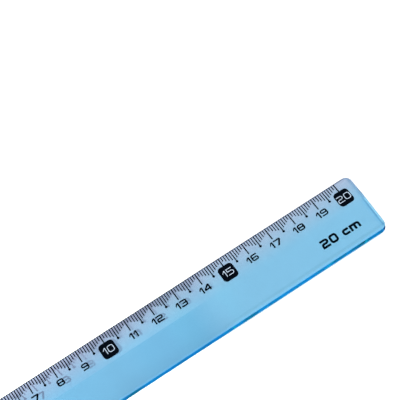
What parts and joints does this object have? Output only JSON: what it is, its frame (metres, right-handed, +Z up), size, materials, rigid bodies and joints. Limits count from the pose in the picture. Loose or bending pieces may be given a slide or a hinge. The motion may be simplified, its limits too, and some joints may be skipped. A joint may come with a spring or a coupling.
{
  "type": "straight ruler",
  "caption": "Clear blue plastic straight ruler with a flat underside, a thick edge and a wide bevel that carries black centimetre, half-centimetre and millimetre marks.",
  "frame": {"origin": "middle of the underside, the face that lies on the paper", "axes": "+X along the ruler towards the high end of the scale, +Y across it to the thin scale edge, +Z up out of the printed side"},
  "size_m": [0.213, 0.025, 0.0032],
  "materials": {
    "clear_blue_plastic": "clear, blue-tinted polystyrene, moulded glossy, with fine handling scratches",
    "white_ink": "hot-stamped white ink of the numerals on the plaques, visual model only",
    "black_ink": "hot-stamped black ink, semi-matt"
  },
  "bodies": {
    "root": {"ruler_body": "clear_blue_plastic", "plaque_mark_05": "black_ink", "plaque_mark_10": "black_ink", "plaque_mark_15": "black_ink", "plaque_mark_20": "black_ink", "centimetre_mark_00": "black_ink", "centimetre_mark_01": "black_ink", "centimetre_mark_02": "black_ink", "centimetre_mark_03": "black_ink", "centimetre_mark_04": "black_ink", "centimetre_mark_06": "black_ink", "centimetre_mark_07": "black_ink", "centimetre_mark_08": "black_ink", "centimetre_mark_09": "black_ink", "centimetre_mark_11": "black_ink", "centimetre_mark_12": "black_ink", "centimetre_mark_13": "black_ink", "centimetre_mark_14": "black_ink", "centimetre_mark_16": "black_ink", "centimetre_mark_17": "black_ink", "centimetre_mark_18": "black_ink", "centimetre_mark_19": "black_ink", "half_mark_00_5": "black_ink", "half_mark_01_5": "black_ink", "half_mark_02_5": "black_ink", "half_mark_03_5": "black_ink", "half_mark_04_5": "black_ink", "half_mark_05_5": "black_ink", "half_mark_06_5": "black_ink", "half_mark_07_5": "black_ink", "half_mark_08_5": "black_ink", "half_mark_09_5": "black_ink", "half_mark_10_5": "black_ink", "half_mark_11_5": "black_ink", "half_mark_12_5": "black_ink", "half_mark_13_5": "black_ink", "half_mark_14_5": "black_ink", "half_mark_15_5": "black_ink", "half_mark_16_5": "black_ink", "half_mark_17_5": "black_ink", "half_mark_18_5": "black_ink", "half_mark_19_5": "black_ink"}
  },
  "joints": []
}
